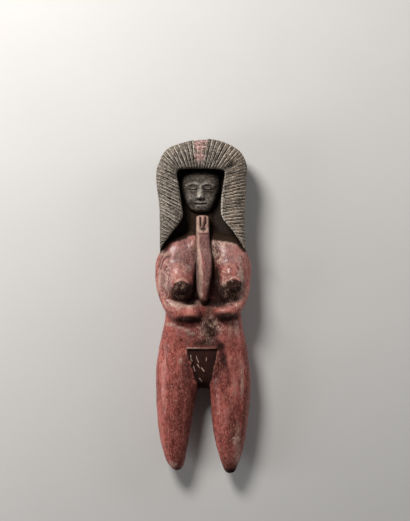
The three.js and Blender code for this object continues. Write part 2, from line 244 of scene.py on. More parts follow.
def pebble(name, centre, half, turned=0, grid=(24, 36)):
    """An ellipsoid with its own centre and half sizes, turned in the frontal plane."""
    lean = math.radians(turned)

    def place(ring, turn):
        rise = math.pi * ring / grid[0]
        side = half[0] * np.sin(rise) * np.cos(turn)
        up = half[1] * np.cos(rise)
        across = side * math.cos(lean) - up * math.sin(lean)
        along = side * math.sin(lean) + up * math.cos(lean)
        ahead = half[2] * np.sin(rise) * np.sin(turn)
        return np.stack([across, along, ahead], 1) + np.array(centre)

    return shell(name, *grid, place)


# The hair's inner edge and its silhouette, matched point to point from the viewer's right tip
# over the crown to the left tip, and the number of combed grooves up to the next pair.
HAIR_EDGES = [
    ((11.3, 68.8), (12.7, 66.4), 5),
    ((9.0, 72.2), (12.5, 71.8), 5),
    ((5.6, 76.6), (12.5, 77.4), 5),
    ((5.3, 81.2), (12.6, 82.2), 5),
    ((5.8, 85.6), (12.9, 87.4), 5),
    ((6.4, 89.3), (13.0, 92.0), 5),
    ((5.6, 90.5), (10.9, 96.2), 4),
    ((2.4, 90.8), (6.0, 99.0), 4),
    ((-0.5, 90.8), (0.2, 100.0), 4),
    ((-3.4, 90.8), (-5.6, 98.9), 4),
    ((-6.8, 90.5), (-10.9, 96.7), 4),
    ((-7.7, 89.2), (-13.4, 92.2), 3),
    ((-7.1, 85.4), (-14.0, 88.7), 4),
    ((-6.5, 81.0), (-13.7, 84.7), 4),
    ((-6.1, 76.6), (-13.1, 80.4), 5),
    ((-8.9, 72.5), (-12.9, 75.2), 6),
    ((-11.4, 69.0), (-12.8, 66.6), 0),
]
HAIR_MIDDLE = np.array([-0.5, 82.5])
HAIR_FOOT = 65.8
# Depths of its front, its rim and the floor of its opening.
HAIR_FRONT = 14.6
HAIR_RIM = 9
NECK_BACK = 7.6
FOOT_COLUMNS = 56
GROOVE_DEPTH = 0.55
# Where the columns of a lock stand, from one crest to the next, and how deep each one lies: a
# broad strand, a raised burr, and a narrow groove.
LOCK_STEPS = np.array([0, 0.15, 0.28, 0.4, 0.5, 0.6, 0.7, 0.85])
LOCK_DEPTHS = np.array([0.1, 0.05, -0.28, 0.4, 1, 0.6, 0.1, 0.2])
# The shaved stripe at the crown, and its chipped foot.
STRIPE = {"middle": -0.8, "half_at_crown": 2.2, "half_at_foot": 1.6, "foot": 96.2, "depth": 0.42}
CHIPPED = {"middle": (-0.9, 94.3), "half": (1.9, 1.7)}

# Small holes in the hair: how deep they are, and where and how wide each one is.
PIT_DEPTH = 0.8
HAIR_PITS = [(-10, 81.9, 0.32), (-9.5, 79.9, 0.22), (-2.6, 93.9, 0.42), (8.7, 89.2, 0.25),
             (-8.3, 94.6, 0.22), (10.4, 84.7, 0.24), (-11.6, 76.4, 0.22)]


def hair_profile():
    """The section of the hair from the floor of its opening over the front to the back: how far
    from the middle to the inner edge, how far across the locks, and the depth of each ring."""
    floor = [(share, 0, NECK_BACK) for share in (0, 0.5, 0.85, 0.97)]
    wall = [(1, 0, NECK_BACK + 0.2), (1, 0, 9.2), (1, 0, 10.8), (1, 0, 12.2), (1, 0.005, 13.1)]
    across = np.array([0.03, 0.08, 0.15, 0.23, 0.32, 0.41, 0.5, 0.58, 0.66, 0.74, 0.81, 0.87,
                       0.92, 0.96, 0.985])
    inner_part = 13.6 + (HAIR_FRONT - 13.6) * np.sqrt(1 - (1 - np.minimum(across / 0.4, 1)) ** 2)
    fall = np.clip((across - 0.5) / 0.5, 0, 1)
    outer_part = HAIR_RIM + (HAIR_FRONT - HAIR_RIM) * np.sqrt(1 - fall ** 2)
    front = [(1, a, z) for a, z in zip(across, np.minimum(inner_part, outer_part))]
    turns = np.linspace(0, math.pi / 2, 17)
    back = [(-math.cos(t) ** (2 / 3), 1, HAIR_RIM - 9.2 * math.sin(t) ** (2 / 3)) for t in turns]
    return np.array(floor + wall + front + back)


def hair_columns():
    """For every column its comb coordinate, its inner and its outer end."""
    inner, outer, grooves = zip(*HAIR_EDGES)
    spans = np.arange(len(inner))
    ends = [[through(*zip(spans, axis)) for axis in np.array(edge).T] for edge in (inner, outer)]
    comb = (np.arange(sum(grooves))[:, None] + LOCK_STEPS).ravel()
    place = np.interp(comb, np.r_[0, np.cumsum(grooves[:-1])], spans)
    sides = [np.stack([axis(place) for axis in edge], 1) for edge in ends]
    share = (1 - np.cos(math.pi * np.arange(FOOT_COLUMNS) / FOOT_COLUMNS)) / 2
    share = share[:, None]
    foot = [np.array(edge[-1]) * (1 - share) + np.array(edge[0]) * share for edge in (inner, outer)]
    foot[1][1:, 1] = HAIR_FOOT
    depth = np.tile(LOCK_DEPTHS, sum(grooves))
    return {
        "inner": np.r_[sides[0], foot[0]],
        "outer": np.r_[sides[1], foot[1]],
        "comb": np.r_[comb, np.full(FOOT_COLUMNS, -1.0)],
        "depth": np.r_[depth, np.zeros(FOOT_COLUMNS)],
        "foot": np.r_[np.zeros(len(comb)), np.sin(math.pi * share[:, 0])],
    }


def stripe_share(points):
    """How much of the shaved stripe a point of the hair is in."""
    climb = (points[:, 1] - STRIPE["foot"]) / (100 - STRIPE["foot"])
    half = STRIPE["half_at_foot"] + (STRIPE["half_at_crown"] - STRIPE["half_at_foot"]) * climb
    beside = smoothstep(np.abs(points[:, 0] - STRIPE["middle"]), half - 0.35, half + 0.25)
    return smoothstep(points[:, 1], STRIPE["foot"] - 0.5, STRIPE["foot"] + 0.4) * (1 - beside)


def chip_share(points):
    """How much of the chipped place below the stripe a point of the hair is in."""
    x, y, z = points.T
    chipped = bump(x, y, CHIPPED["middle"], CHIPPED["half"], 3) * (z > HAIR_RIM)
    return chipped * (0.75 + 0.5 * wander(points, 0.8, 12))


def pit_share(points):
    """How deep in one of the small holes a point of the hair is."""
    x, y = points[:, 0], points[:, 1]
    return sum(bump(x, y, (at, up), (radius, radius), 3) for at, up, radius in HAIR_PITS)


def comb_strength(comb, sweep, reach, z):
    """How hard each lock was combed. The marks fade into the opening and on the back."""
    lock = np.column_stack([np.floor(comb) * 3.7, sweep * 2.5, z * 0])
    strength = np.clip(0.8 + 1.1 * wander(lock, 1.0, 1), 0.12, 1.3)
    ahead = smoothstep(z, NECK_BACK + 1.5, 12.5)
    return strength * np.where(reach >= 0, ahead, smoothstep(-reach, 0.72, 0.97))


def lock_wave(comb, sweep):
    """How far a lock strays to its side: a slow wave and a finer one."""
    slow = wander(np.column_stack([comb, sweep * 2, comb * 0]), 2.2, 2)
    return 0.2 * slow + 0.1 * wander(np.column_stack([comb * 2, sweep * 9, comb * 0]), 1.3, 14)


def model_hair():
    """The mass of hair, combed in grooves that fan out from the face and run over its rim."""
    columns = hair_columns()
    profile = hair_profile()
    count = len(columns["comb"])
    kept = {}

    def place(ring, turn):
        column = np.rint(turn / (2 * math.pi) * count).astype(int) % count
        inner, outer, comb = (columns[name][column] for name in ("inner", "outer", "comb"))
        reach, across, z = profile[ring].T
        on_front, in_lock = reach >= 0, comb >= 0
        ahead = HAIR_MIDDLE + (inner - HAIR_MIDDLE) * np.abs(reach)[:, None]
        ahead = ahead + (outer - ahead) * across[:, None]
        full = (np.abs(reach) ** (1 - 0.65 * columns["foot"][column]))[:, None]
        behind = HAIR_MIDDLE + (outer - HAIR_MIDDLE) * full
        z = np.where(on_front & ~in_lock, np.minimum(z, NECK_BACK), z)
        points = np.column_stack([np.where(on_front[:, None], ahead, behind), z])
        sweep = np.where(on_front, across, 1 - 0.4 * (1 + reach))
        chipped = chip_share(points)
        stripe = np.maximum(stripe_share(points) * (z > HAIR_RIM - 3), 0.8 * chipped)
        groove = columns["depth"][column] * comb_strength(comb, sweep, reach, z) * (1 - stripe)
        sunk = groove * GROOVE_DEPTH + stripe * STRIPE["depth"]
        facing = smoothstep(z, HAIR_RIM, HAIR_FRONT - 1.2) * on_front
        away = outer - HAIR_MIDDLE
        away /= np.linalg.norm(away, axis=1, keepdims=True)
        points[:, :2] -= away * (sunk * (1 - facing))[:, None]
        points[:, 2] -= sunk * facing
        strays = lock_wave(comb, sweep) * (across > 0) * (across < 1) * in_lock
        points[:, :2] += np.column_stack([-away[:, 1], away[:, 0]]) * strays[:, None]
        points[:, 2] = np.maximum(points[:, 2] - 0.3 * chipped * wander(points, 0.6, 13), 0)
        points[:, 2] -= PIT_DEPTH * pit_share(points) * facing
        # The inner edge on the right side, lightened below as painted highlight.
        rim = (across > 0) & (across < 0.05) & in_lock & (points[:, 0] > 4)
        kept.update(groove=groove, rim=rim, bald=stripe, shade=(across == 0) & on_front, comb=comb)
        kept.update(sweep=sweep, combed=np.where(on_front, 1, smoothstep(-reach, 0.5, 0.95)))
        return points

    piece = shell("hair", len(profile) - 1, count, place)
    points = read_points(piece)
    groove, rim = kept.pop("groove"), kept.pop("rim")
    # groove darkens the combed grooves and the small holes as painted shade. burr lightens the raised
    # burrs, as rubbed pale clay and painted highlight, and the lit inner edge on the right as painted
    # highlight.
    paint(
        piece, groove=np.clip(np.maximum(groove, pit_share(points)), 0, 1),
        burr=np.maximum(np.clip(-groove * 7, 0, 1), 0.8 * rim), tan=smoothstep(points[:, 0], 3, 9),
        **kept,
    )
    return piece


# The face keeps to the draughtsman's canon: brow, foot of the nose and chin stand a third of
# the face apart, and it is five eyes wide.
FACE = {
    "middle": -0.8, "chin": 77.9, "top": 90.6, "half": 5.7, "front": 11.2, "third": 4.2, "cut": 0.45,
}
BROW = FACE["chin"] + 2 * FACE["third"]
NOSE_FOOT = FACE["chin"] + FACE["third"]
EYE = 2 * FACE["half"] / 5
MOUTH = NOSE_FOOT - FACE["third"] / 2.6


def bump(x, y, centre, half, power=2):
    """A round swelling of height 1 with its own half sizes."""
    away = np.abs((x - centre[0]) / half[0]) ** power + np.abs((y - centre[1]) / half[1]) ** power
    return np.exp(-away)


def stroke(x, y, path, radius):
    """A line pressed or raised along a path: 1 on the line, falling off over the radius."""
    line, _ = line_through(path, 60)
    near = np.full(x.shape, 1e9)
    for start, end in zip(line[:-1], line[1:]):
        run = end - start
        t = ((x - start[0]) * run[0] + (y - start[1]) * run[1]) / (run @ run)
        t = np.clip(t, 0, 1)
        gap = (x - start[0] - t * run[0]) ** 2 + (y - start[1] - t * run[1]) ** 2
        near = np.minimum(near, gap)
    return np.exp(-near / radius ** 2)


def face_relief(x, y):
    """How far the features stand out of the plain shield, and how deep the cuts go."""
    x = np.abs(x - FACE["middle"])
    eye = (EYE, BROW - FACE["third"] * 0.36)
    brow = [(0.35, BROW - 0.3), (EYE, BROW + 0.3), (1.75 * EYE, BROW - 0.4)]
    relief = 0.55 * stroke(x, y, brow, 0.5)
    climb = np.clip((BROW - y) / FACE["third"], 0, 1)
    nose = smoothstep(y, NOSE_FOOT - 0.3, NOSE_FOOT + 0.15)
    nose *= 1 - smoothstep(y, BROW - 1, BROW + 0.8)
    relief += nose * (0.55 + 0.85 * climb) * np.exp(-((x / (0.5 + 0.55 * climb)) ** 2.4))
    swellings = {
        "nostril": (0.4, (0.75, NOSE_FOOT + 0.45), (0.5, 0.45), 2),
        "socket": (-0.5, eye, (EYE * 0.75, 1.15), 2),
        "lid": (0.75, eye, (EYE * 0.55, 0.68), 2.4),
        "upper_lip": (0.4, (0, MOUTH + 0.42), (1.75, 0.42), 2),
        "lower_lip": (0.5, (0, MOUTH - 0.5), (1.5, 0.5), 2),
        "cheek": (0.35, (3.1, NOSE_FOOT + 0.2), (1.5, 1.6), 2),
        "chin": (0.4, (0, 78.9), (1.8, 1), 2),
    }
    for height, centre, half, power in swellings.values():
        relief += height * bump(x, y, centre, half, power)
    lids = [(EYE * 0.52, eye[1]), (EYE, eye[1] - 0.12), (EYE * 1.48, eye[1])]
    lips = [(0, MOUTH), (0.8, MOUTH - 0.03), (1.7, MOUTH + 0.1)]
    return relief, np.maximum(stroke(x, y, lids, 0.17), stroke(x, y, lips, 0.17))


def model_face():
    """The face, set deep in the hair."""
    half = through((79, 3.3), (81, 4.4), (83, 5.1), (86, FACE["half"]), (88.5, 5.6), (90.5, 4.8))
    front = through((78, 10.4), (81, 11), (86, FACE["front"]), (90.5, 10.2))
    piece = upright(
        "face", FACE["top"], FACE["chin"], (1.8, 1.6), level(FACE["middle"]), half, front, level(5.5),
        squareness=2.6, grid=(88, 112), front_loaded=0.6,
    )
    points = read_points(piece)
    relief, cut = face_relief(points[:, 0], points[:, 1])
    facing = smoothstep(read_normals(piece)[:, 2], 0.1, 0.7)
    points[:, 2] += facing * (relief - FACE["cut"] * cut)
    points += 0.06 * wander(points, 1.3, 6)[:, None]
    write_points(piece, points)
    # groove darkens the cuts of eyes and lips and the sunk sockets as painted shade, burr lightens the
    # raised features as painted highlight, and shade darkens the shield where it is not raised.
    paint(
        piece, groove=np.clip(cut + 0.7 * np.clip(-relief, 0, 0.5), 0, 1) * facing,
        burr=0.6 * facing * np.clip(1.3 * relief, 0, 1) * (1 - cut),
        shade=0.4 - 0.3 * facing * np.clip(relief, 0, 1), comb=-1, combed=1,
    )
    return piece


# The raised forearm: a ridge from the waist to the hand under the chin, with a steep right side
# and a sloping left flank. Gaps part the fingers above a hollow palm.
HAND = {"tip": 77.2, "wrist": 72.1, "middle": -0.15, "half": 1.95, "front": 12.9, "cut": 0.9}
FINGER_GAPS = [((-0.85, 77.6), (-0.7, 73.8)), ((0.6, 77.6), (0.75, 74.6)), ((0.75, 75), (0.2, 73.6))]
# Where the front face of the ridge begins on the viewer's left, and how steep the flank falls.
FACE_EDGE = through((52.8, -0.1), (62.7, -0.3), (68, -1), (72, -1.35), (73, -2.4))
FLANK_SLOPE = 1.0


def forearm_cuts(x, y):
    """How deep the hand is cut at a point: finger gaps, the palm and the crease of the wrist."""
    gaps = np.max([stroke(x, y, path, 0.3) for path in FINGER_GAPS], axis=0)
    palm = bump(x, y, (0, HAND["wrist"] + 0.95), (1.0, 0.6), 3)
    crease = 0.5 * stroke(x, y, [(-2.2, HAND["wrist"] - 0.55), (1.9, HAND["wrist"] - 0.55)], 0.17)
    return np.maximum(np.maximum(gaps, palm), crease)


def model_raised_forearm():
    """The ridge of the raised forearm, with its fingers and the crease of the wrist."""
    middle = through((50.5, 0.4), (52, 0.15), (55, -0.1), (59.5, 0.1), (63, 0.17), (69, -0.1),
                     (HAND["wrist"], HAND["middle"]))
    half = through((49.4, 0.7), (51, 1), (53, 1.5), (55, 1.95), (59.5, 2.45), (63, 2.58), (69, 2.2),
                   (HAND["wrist"], HAND["half"]))
    piece = upright(
        "raised_forearm", HAND["tip"], 49.4, (0.8, 1.8), middle, half,
        through((49.4, 10), (51, 11.2), (53, 12.7), (55.5, 13.8), (58, 14.2), (63, 14.3), (68, 13.5),
                (HAND["wrist"], HAND["front"])),
        level(7), squareness=4.2, grid=(120, 72), front_loaded=0.6,
    )
    points = read_points(piece)
    x, y = points[:, 0], points[:, 1]
    facing = smoothstep(read_normals(piece)[:, 2], 0.2, 0.8)
    cut = forearm_cuts(x, y)
    points[:, 2] -= facing * HAND["cut"] * cut
    flank = np.clip(FACE_EDGE(y) - x, 0, 3)
    points[:, 2] -= np.where(points[:, 2] > 10, FLANK_SLOPE * flank, 0)
    points += 0.07 * wander(points, 1.6, 5)[:, None]
    write_points(piece, points)
    on_hand = smoothstep(y, HAND["wrist"] - 0.4, HAND["wrist"])
    # The front face is darkened as painted shade and the sloping left flank, which faces the light, is
    # lightened as painted highlight; the hand is paler, and the ridge darkens towards its foot.
    ridge = 0.3 * (1 - on_hand) * (flank == 0)
    pale = 0.95 * smoothstep(flank, 0, 0.3) + 0.6 * on_hand
    # The cuts of the hand are darkened as painted shade.
    paint(
        piece, groove=facing * cut, worn=np.clip(pale * smoothstep(y, 51, 56), 0, 0.95),
        mauve=0.9 * smoothstep(y, 52, 57), scratchy=0.3 + 0.5 * (flank > 0.2), slip=1,
        soot=np.maximum(0.8 * (1 - smoothstep(y, 50.5, 54)), ridge),
        dusk=np.maximum(0.8 * (1 - smoothstep(y, 51.5, 56)), ridge),
    )
    return piece


# The legs' outer and inner edges at each height.
LEFT_LEG = {
    "tip": 0.8,
    "outer": through((2, -9.9), (4, -11.2), (8, -12.3), (12, -13.2), (19, -13.9), (26, -14.1),
                     (31, -14.1), (36, -13.5), (40, -12.5), (47, -11)),
    "inner": through((2, -5.9), (4, -5.4), (8, -4.6), (12, -3.8), (19, -2.7), (24, -2), (28, -1.2),
                     (47, -1)),
}
RIGHT_LEG = {
    "tip": 0,
    "outer": through((2, 10.1), (4, 11), (8, 12.1), (12, 12.9), (19, 13.7), (24, 14.2), (29, 14.3),
                     (33, 13.8), (36, 13.3), (40, 12.4), (47, 11)),
    "inner": through((2, 5.9), (4, 5.1), (8, 4), (12, 3.1), (16, 2.6), (24, 2), (28, 1.4), (47, 1)),
}


def model_leg(name, tip, outer, inner):
    """One leg, from inside the hips down to its blunt tip."""
    return upright(
        name, 47, tip, (4, 2.2),
        lambda y: (outer(y) + inner(y)) / 2,
        lambda y: np.abs(outer(y) - inner(y)) / 2,
        through((2, 8), (6, 9.3), (12, 10.6), (20, 11.7), (30, 12.2), (36, 12), (41, 11), (47, 8.6)),
        through((2, 3.9), (6, 2.7), (12, 1.8), (20, 1.3), (30, 1.2), (36, 1.8), (41, 2.9), (47, 4.6)),
        squareness=2.15,
    )


def model_trunk():
    """The trunk from the shoulders to the crotch, and the neck."""
    trunk = upright(
        "trunk", 72.8, 25.6, (3.4, 3), level(0),
        through((28, 6.5), (31, 10.5), (34, 13.2), (37, 13.3), (40, 12.7), (44, 11.8), (47.5, 11.3),
                (55, 11.2), (66, 12.2), (69, 11.8), (72, 11)),
        through((26, 9), (30, 11.2), (34, 12.1), (38, 12.4), (41, 12.2), (44, 11.5), (48, 10.6),
                (54, 10.6), (60, 11.2), (66, 11), (70, 10)),
        through((28, 2.8), (34, 1.9), (38, 1.7), (43, 2.3), (49, 2.8), (56, 2.2), (62, 1.6), (70, 1.7)),
        squareness=2.7, grid=(56, 64),
    )
    neck = upright(
        "neck", 84, 64, (2, 2), level(-0.4),
        through((66, 8), (71, 5.6), (76, 4.4), (84, 4.4)),
        through((66, 9.8), (71, 9.2), (76, 8.6), (84, 8.4)),
        level(3),
    )
    return [trunk, neck]


def model_breast(side, middle, half, lift=0):
    """One side of the full chest, and the breast that swells out of it, fullest low down."""
    chest = upright(
        side + "_chest", 71.4 + lift, 53 + lift, (3.4, 3),
        through((60, middle), (70, 0.92 * middle)),
        through((54, 0.95 * half), (60, 1.14 * half), (66, 1.14 * half), (70, 0.98 * half)),
        through((54, 12.4), (60, 14), (65, 13.2), (70, 11.4)),
        level(4), squareness=2.5,
    )
    breast = pebble(side + "_breast", (middle, 57.7 + lift, 10.1), (half, 7.1, 6.1))
    return [chest, breast]


def model_arms():
    """Both arms: down the side and in under the breast."""
    taper = through((0, 2), (0.2, 2.4), (0.55, 2.6), (0.8, 2.9), (1, 2.3))
    left = limb("left_arm", [(-10.3, 67.6, 6.2), (-11.8, 63, 7), (-11.8, 58.5, 8.2), (-10.9, 54.1, 9.9),
                             (-8.8, 50.2, 11.2), (-5.4, 48.1, 12), (-1, 49, 12.2)], taper)
    taper = through((0, 2), (0.2, 2.4), (0.6, 2.35), (0.85, 2.45), (1, 1.9))
    right = limb("right_arm", [(10.3, 67.6, 6.2), (11.9, 62.5, 7), (11.7, 57.5, 8.4), (11.1, 53.6, 10),
                               (9.4, 50.2, 11.3), (6.8, 48.4, 12), (3.4, 49, 12.1)], taper)
    return [left, right]


def model_hips():
    """Both legs and the buttocks, parted by a cleft, on which the figure lies."""
    legs = [model_leg("left_leg", **LEFT_LEG), model_leg("right_leg", **RIGHT_LEG)]
    return legs + [
        pebble("buttock", (side * 6.3, 33.5, 5.6), (6.7, 8.4, 6), side * 8) for side in (-1, 1)
    ]


def joined(name, pieces):
    """Several shells as one object."""
    activate(pieces[0])
    for piece in pieces:
        piece.select_set(True)
    bpy.ops.object.join()
    pieces[0].name = name
    return pieces[0]


def finish_with(piece, kind, **settings):
    """Adds one modifier and applies it."""
    activate(piece)
    modifier = piece.modifiers.new(kind.lower(), kind)
    for name, value in settings.items():
        setattr(modifier, name, value)
    bpy.ops.object.modifier_apply(modifier=modifier.name)


# The grid on which the masses of the body are pressed together, in metres, and how often the
# result is smoothed.
CLAY_GRID = 0.00046
SMOOTHINGS = 17

# The clay that fills the chest out to the raised forearm above the breasts: centre, half sizes.
WEBS = [((-2.9, 66, 8), (3, 7, 4.7)), ((3.4, 66.4, 8), (2.8, 5.4, 3.9))]
# The buttons on the breasts.
NIPPLES = [(-6.3, 56.6, 15.6), (8.9, 57.1, 15.5)]
NIPPLE_HALF = (2.3, 2.3, 1.35)

# The triangle below the belly, cut back with a crisp upper edge, the area around it that has
# finer faces, and the pale strokes in it.
PANEL = {
    "top": 37.7, "bottom": 26.3, "left": -4.9, "right": 4.5, "left_foot": -1.8, "right_foot": 2.1,
    "depth": 0.75, "stroke_radius": 0.13, "stroke_height": 0.25,
}
FINE = {"half": 6.2, "middle": 32.5, "rise": 6.8, "front": 7}
PANEL_STROKES = [
    [(-3.7, 35.8), (-3.6, 34.8), (-3.2, 34.1)], [(-2, 35.6), (-1.7, 34.4), (-1.3, 33.7)],
    [(1, 35.1), (0.9, 34)], [(-1.7, 33.1), (-0.9, 31.9)], [(-0.5, 32.1), (0.3, 31)],
    [(-2.9, 32.6), (-2.4, 31)], [(-1.1, 28.9), (-0.3, 27.8)],
]

# Creases of the body: a path in the frontal plane, how wide and how deep it is pressed, and how
# much painted shade darkens it.
CREASES = {
    "left_shoulder": ([(-10.1, 65.1), (-11.4, 64.4), (-12.3, 63.1), (-12.8, 61.2)], 0.36, 0.4, 0.8),
    "left_armpit": ([(-12.2, 65), (-13, 63.4), (-13.3, 61.8)], 0.32, 0.3, 0.7),
    "right_arm": ([(10.9, 64.8), (12.3, 61.5), (12.4, 58.6), (11.8, 54.9), (10.2, 52)], 0.6, 0.3, 0.3),
    "left_elbow": ([(-10.5, 52.6), (-8, 51.9), (-4.6, 51.7), (-0.9, 52.3)], 0.6, 0.4, 0.5),
    "right_elbow": ([(10.5, 51.9), (7.6, 50.9), (3.6, 50.9)], 0.6, 0.35, 0.5),
    "right_groin": ([(3.4, 41.4), (4.8, 37.8), (6.4, 34.3), (7.2, 31.4), (7.8, 27)], 1.0, 0.6, 0.55),
    "left_groin": ([(-6.4, 39.6), (-5.4, 36), (-4.1, 32), (-2.8, 28.5)], 1.1, 0.4, 0.15),
    "breast_bone": ([(1.9, 48.6), (2.2, 46.2), (2.9, 44), (3.1, 41.5)], 0.9, 0.3, 0.2),
}


def refine(piece, chosen):
    """Divides the faces whose centres are chosen."""
    centres = np.empty(3 * len(piece.data.polygons))
    piece.data.polygons.foreach_get("center", centres)
    inside = chosen((centres.reshape(-1, 3) - TIPS) / CANON)
    activate(piece)
    bpy.ops.object.mode_set(mode="EDIT")
    bpy.ops.mesh.select_mode(type="FACE")
    bpy.ops.mesh.select_all(action="DESELECT")
    bpy.ops.object.mode_set(mode="OBJECT")
    piece.data.polygons.foreach_set("select", inside)
    bpy.ops.object.mode_set(mode="EDIT")
    bpy.ops.mesh.subdivide(number_cuts=1, smoothness=0)
    bpy.ops.object.mode_set(mode="OBJECT")


def near_panel(points):
    """Which points are on the front around the panel."""
    x, y, z = points.T
    beside = np.abs(x) < FINE["half"]
    return beside & (np.abs(y - FINE["middle"]) < FINE["rise"]) & (z > FINE["front"])


def in_panel(x, y):
    """How far inside the panel a point is: 0 outside, 1 inside, with a crisp edge."""
    climb = np.clip((y - PANEL["bottom"]) / (PANEL["top"] - PANEL["bottom"]), 0, 1)
    left = PANEL["left_foot"] + (PANEL["left"] - PANEL["left_foot"]) * climb
    right = PANEL["right_foot"] + (PANEL["right"] - PANEL["right_foot"]) * climb
    sides = smoothstep(x, left - 0.15, left + 0.35) * smoothstep(-x, -right - 0.15, -right + 0.35)
    return sides * smoothstep(-y, -PANEL["top"] - 0.1, -PANEL["top"] + 0.25)


def carve_body(body):
    """Presses the creases and cuts the panel into the front of the body."""
    points, normals = read_points(body), read_normals(body)
    x, y, z = points.T
    front = smoothstep(normals[:, 2], -0.1, 0.35)
    groove = np.zeros(len(x))
    for path, radius, depth, dirt in CREASES.values():
        pressed = stroke(x, y, path, radius) * front
        points -= normals * (depth * pressed)[:, None]
        groove = np.maximum(groove, dirt * pressed)
    ragged = 0.35 * wander(points, 1.4, 15)
    panel = in_panel(x + ragged, y + 0.3 * ragged) * front * smoothstep(z, 5, 8)
    fade = smoothstep(y, PANEL["bottom"] - 1, PANEL["bottom"] + 7)
    points[:, 2] -= PANEL["depth"] * panel * fade
    strokes = np.max([stroke(x, y, path, PANEL["stroke_radius"]) for path in PANEL_STROKES], axis=0)
    strokes = strokes * panel
    points[:, 2] += PANEL["stroke_height"] * strokes
    points += normals * (0.1 * wander(points, 3.5, 3) + 0.05 * wander(points, 1.2, 4))[:, None]
    points[:, 2] = np.maximum(points[:, 2], 0)
    write_points(body, points)
    return groove, panel, strokes


# The upper edge of the red slip, from the left shoulder to the right one.
SLIP_EDGE = through((-11.5, 68.5), (-8.1, 69.5), (-5.8, 70.2), (-2.4, 71.4), (1.9, 70), (5.3, 69.6),
                    (9.1, 68.7), (11.7, 67.4))

# Stains and wear on the front of the body, and painted shade and highlight. Each daub says where it is,
# its half sizes and how strong it is. Soot is black soot, and also painted shadow under the breasts and
# forearms and in the groins. Dusk is painted shade that browns the slip. Bare shows the clay, worn is
# rubbed to tan and also painted highlight on the forearm tops and the belly's lit edge, mauve is faded
# slip, and scratchy slip is full of fine light lines.
DAUB_POWER = 2.4
DAUBS = {
    "soot": [
        # Painted shadow under the breasts, in the grooves beside the raised forearm and under both
        # forearms.
        (-5.6, 54.3, 4.2, 2.9, 1.15), (-2.9, 54.3, 2.4, 2.6, 1.1), (-2.2, 56.4, 0.9, 4.4, 1),
        (4, 57.3, 1.2, 5.6, 1), (6.4, 54.1, 4.2, 2.8, 1.15), (9.4, 56, 2.5, 2.8, 1),
        (4.6, 51.6, 2.6, 1.8, 0.9), (-4.6, 46.4, 4.8, 1.3, 0.9), (6.4, 47.2, 4.4, 1.7, 0.9),
        # Soot on the left shoulder and the belly, then painted shadow in the right groin and at the
        # panel's left edge, more darkening on the belly, and darker tips of the legs.
        (-8.4, 64.8, 4.2, 2.6, 0.28), (1.8, 44, 4, 6, 0.62), (1, 39.6, 5.4, 1.8, 0.6),
        (5.2, 38.4, 1.5, 1.6, 0.75), (6, 34.4, 1.2, 2.8, 0.65), (-4.4, 34.6, 0.8, 2.6, 0.5),
        (-3, 42, 9, 4, 0.36), (8, 42, 4, 5, 0.3), (2.8, 51.4, 3.4, 1.6, 0.8), (-9, 47, 3, 4, 0.3),
        (-7.4, 0.6, 2.4, 1.4, 0.6), (8.2, 0.6, 2.6, 1.8, 0.75),
    ],
    "dusk": [
        # Painted shade that browns the slip: the legs' inner flanks and the right leg, around the panel
        # and belly, below the right forearm, beside the raised forearm, and lightly over the chest.
        (8, 8, 1.6, 8, 0.6), (9, 17, 2.4, 12, 0.62), (8, 31, 5, 10, 0.5), (13, 16, 1.6, 14, 0.3),
        (-7, 15, 2.4, 15, 0.5), (-3.6, 18, 2, 16, 0.85), (4.6, 33, 3, 7, 0.85),
        (-4.6, 31, 2.4, 7, 0.75), (0, 39.6, 8, 3, 0.6), (1.6, 44, 5, 6, 0.6),
        (7, 50.4, 4, 1.6, 0.35), (8.2, 2, 3, 4, 0.9), (-7.4, 2, 3, 3, 0.6), (-2.6, 56, 1.6, 7, 0.5),
        (4.6, 56, 2, 7, 0.5), (0, 63, 13, 8, 0.16), (7.6, 40, 5, 6, 0.35),
    ],
    "bare": [
        (3.3, 66.4, 2.4, 3.3, 0.75), (-2.4, 66.5, 1.6, 4, 0.6), (1.6, 50.4, 1.5, 3.4, 0.6),
    ],
    "worn": [
        # Slip rubbed to tan, and painted highlight along the tops of the forearms and the lit edge of
        # the belly below the left forearm.
        (-8.6, 51, 3.4, 0.9, 0.8), (-4.6, 50.5, 4.4, 0.8, 0.85), (-3.4, 51.4, 2.8, 0.8, 0.7),
        (-12.9, 57, 0.8, 6, 0.5), (5.2, 51, 2.8, 0.7, 0.65), (11.2, 57.8, 0.6, 5, 0.8),
        (10.4, 53, 1.2, 1.6, 0.6), (6, 69.2, 6, 0.9, 0.9), (-11.6, 65.9, 2, 0.7, 0.75),
        (-9.4, 44.8, 1.8, 0.7, 0.6), (-7.2, 44.1, 1.7, 0.6, 0.6), (-5.2, 43.2, 1.6, 0.55, 0.55),
        (-3.4, 42.2, 1.5, 0.5, 0.5), (8.6, 43.4, 3, 2.4, 0.4), (10.4, 8, 0.8, 7, 0.5),
        (-8.6, 3.4, 1.6, 1.2, 0.55), (-2, 37.9, 3.4, 0.4, 0.6), (-6.7, 34.2, 0.5, 0.9, 0.8),
        (11.5, 27, 0.8, 6, 0.45),
    ],
    "mauve": [
        (-5.4, 66.6, 8, 6.4, 1.2), (-11, 59, 2.6, 6, 0.8), (8.4, 66, 6, 5.4, 0.7),
        (-6, 30, 3, 6, 0.3), (7, 17, 3, 4, 0.25),
    ],
    "scratchy": [
        (2, 43.6, 3.8, 4.6, 0.9), (4, 66, 3.4, 4.4, 0.9), (8.5, 56, 5, 9, 0.8),
        (-8.5, 57, 5, 10, 0.7), (0, 62, 2.6, 10, 0.8), (9.8, 10, 1.6, 8, 0.6),
    ],
}


